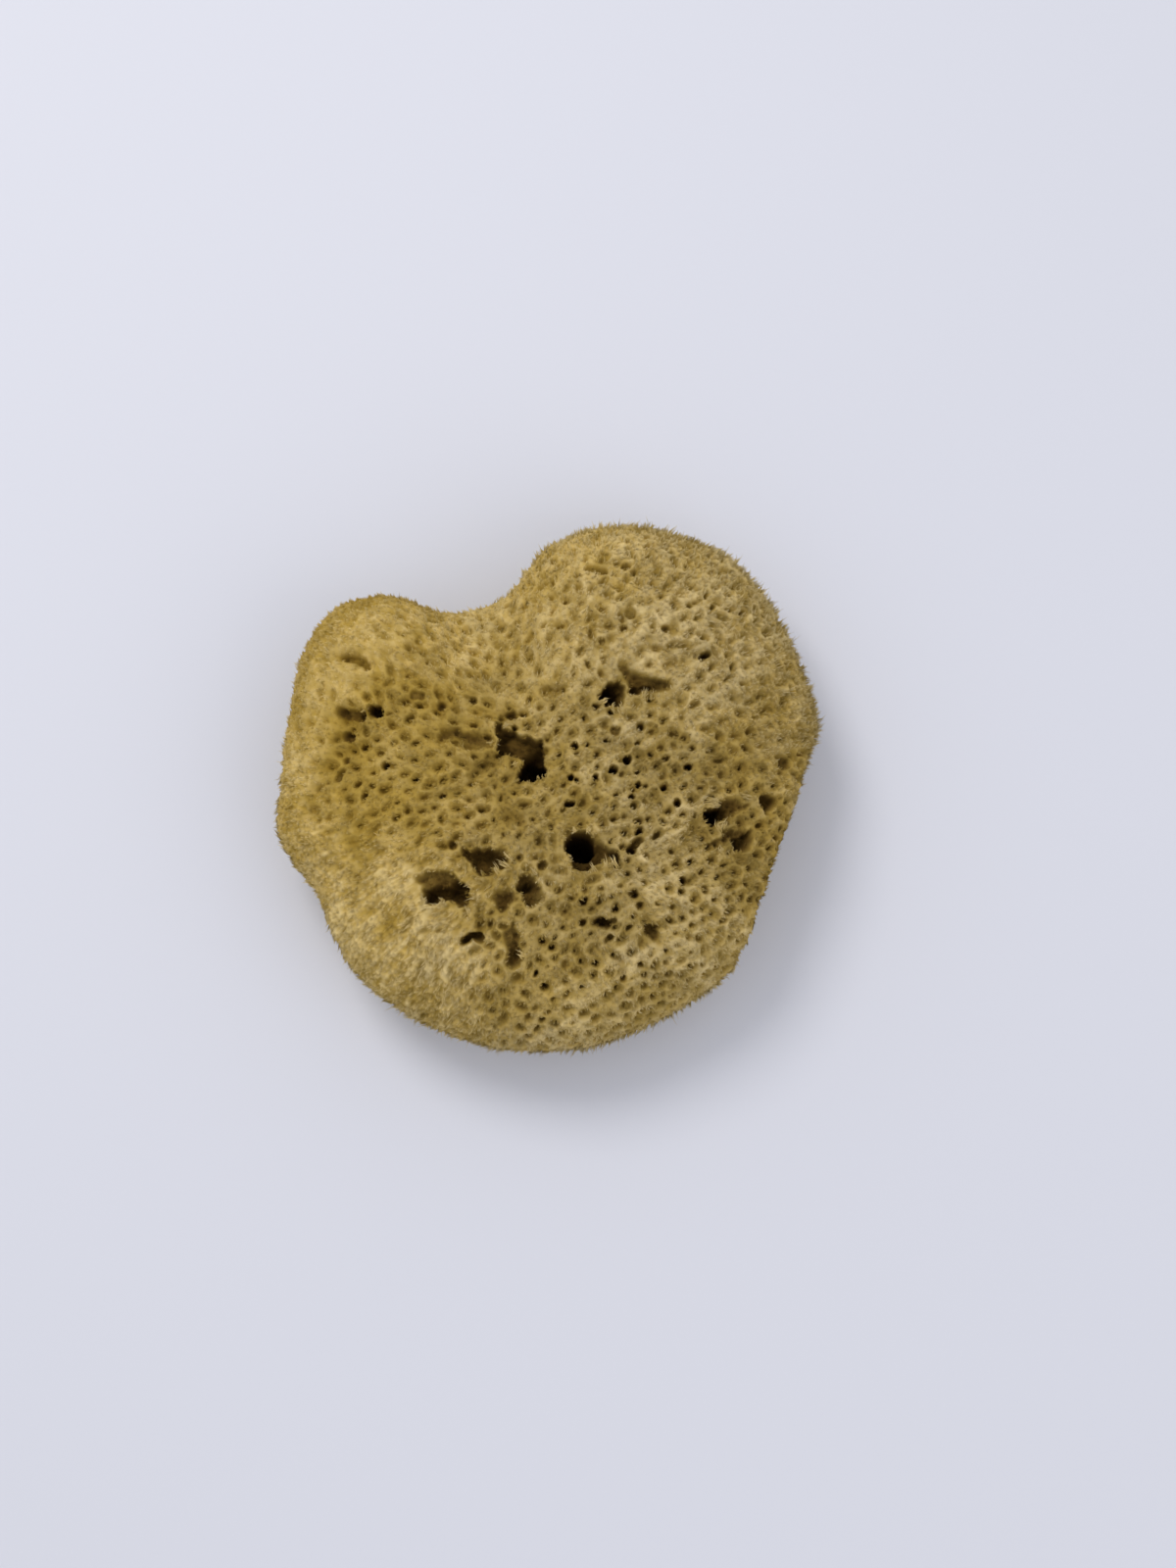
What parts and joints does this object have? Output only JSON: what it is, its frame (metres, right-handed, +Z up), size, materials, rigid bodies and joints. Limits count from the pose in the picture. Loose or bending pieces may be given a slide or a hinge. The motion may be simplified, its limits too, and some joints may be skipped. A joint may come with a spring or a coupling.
{
  "type": "sea sponge",
  "caption": "Natural bath sponge: a soft two-lobed cushion of honeycomb fibre with torn canal mouths, a trimmed side and a flat back to lie on.",
  "frame": {"origin": "under the middle of the sponge's bounding box, on the surface that its flat back lies on", "axes": "+Z up out of the face, +Y towards the two lobes, +X towards the trimmed side"},
  "size_m": [0.1298, 0.129, 0.0412],
  "materials": {
    "sponge": "matt straw-yellow sponge fibre, darker in its pores"
  },
  "bodies": {
    "root": {"sea_sponge": "sponge"}
  },
  "joints": []
}
